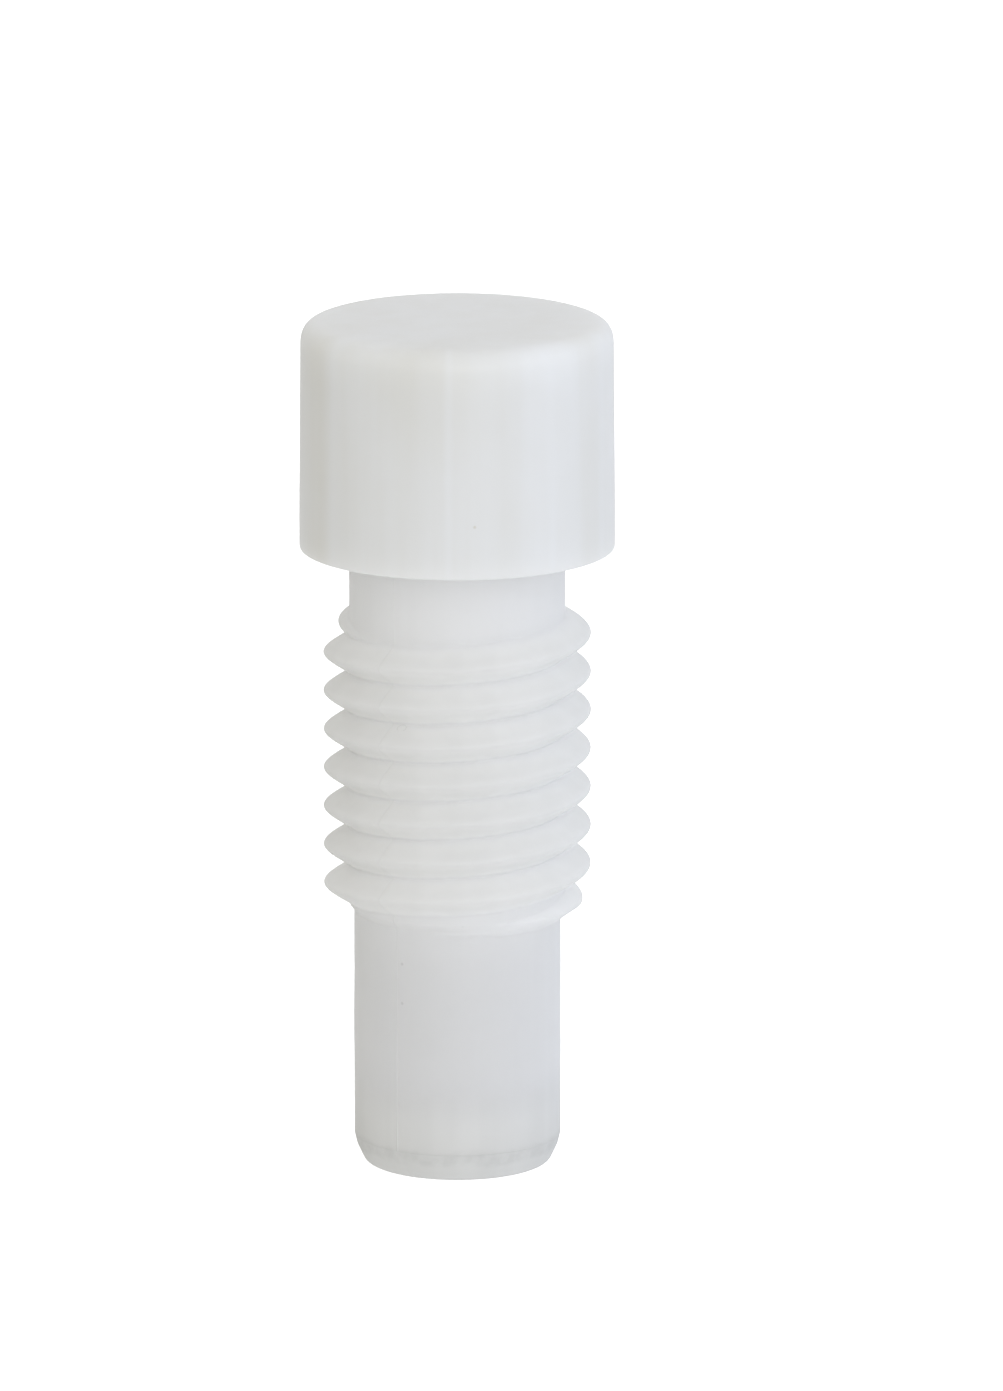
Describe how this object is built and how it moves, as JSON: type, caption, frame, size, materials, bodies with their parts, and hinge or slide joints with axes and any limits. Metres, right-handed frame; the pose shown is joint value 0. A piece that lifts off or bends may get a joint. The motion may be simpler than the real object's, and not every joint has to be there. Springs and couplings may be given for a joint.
{
  "type": "wall anchor",
  "caption": "Screw-in nylon wall anchor: threaded sleeve with a pull-off round cap, a central screw and a keyed cone nut inside a closed shank.",
  "frame": {"origin": "centre of the head's underside, in the plane where the head meets the wall", "axes": "+Z along the anchor's axis, out of the wall; -Z into the wall; +X and +Y are square to it, with the nut's flats facing +X and -X"},
  "size_m": [0.014, 0.014, 0.0382],
  "materials": {
    "cap_nylon": "smooth natural nylon, milky and slightly translucent",
    "sleeve_nylon": "as-moulded natural nylon, matt, milky and slightly translucent",
    "screw_nylon": "natural nylon, matt",
    "nut_nylon": "natural nylon, matt",
    "nose_nylon": "as-moulded natural nylon, matt, rough at the seam"
  },
  "bodies": {
    "sleeve": {"threaded_sleeve": "sleeve_nylon", "nose_plug": "nose_nylon"},
    "cap": {"head_cap": "cap_nylon"},
    "screw": {"clamp_screw": "screw_nylon"},
    "nut": {"cone_nut": "nut_nylon"}
  },
  "joints": [
    {"name": "cap_pull", "type": "slide", "parent": "sleeve", "child": "cap", "axis": [0, 0, 1], "range_m": [0, 0.012]},
    {"name": "screw_turn", "type": "hinge", "parent": "sleeve", "child": "screw", "pos_m": [0, 0, 0], "axis": [0, 0, -1], "range_deg": [0, 1800]},
    {"name": "nut_climb", "type": "slide", "parent": "sleeve", "child": "nut", "axis": [0, 0, 1], "range_m": [0, 0.0035]}
  ],
  "couplings": [
    {"joint": "screw_turn", "follows": "nut_climb", "rad_per_m": 8976}
  ]
}
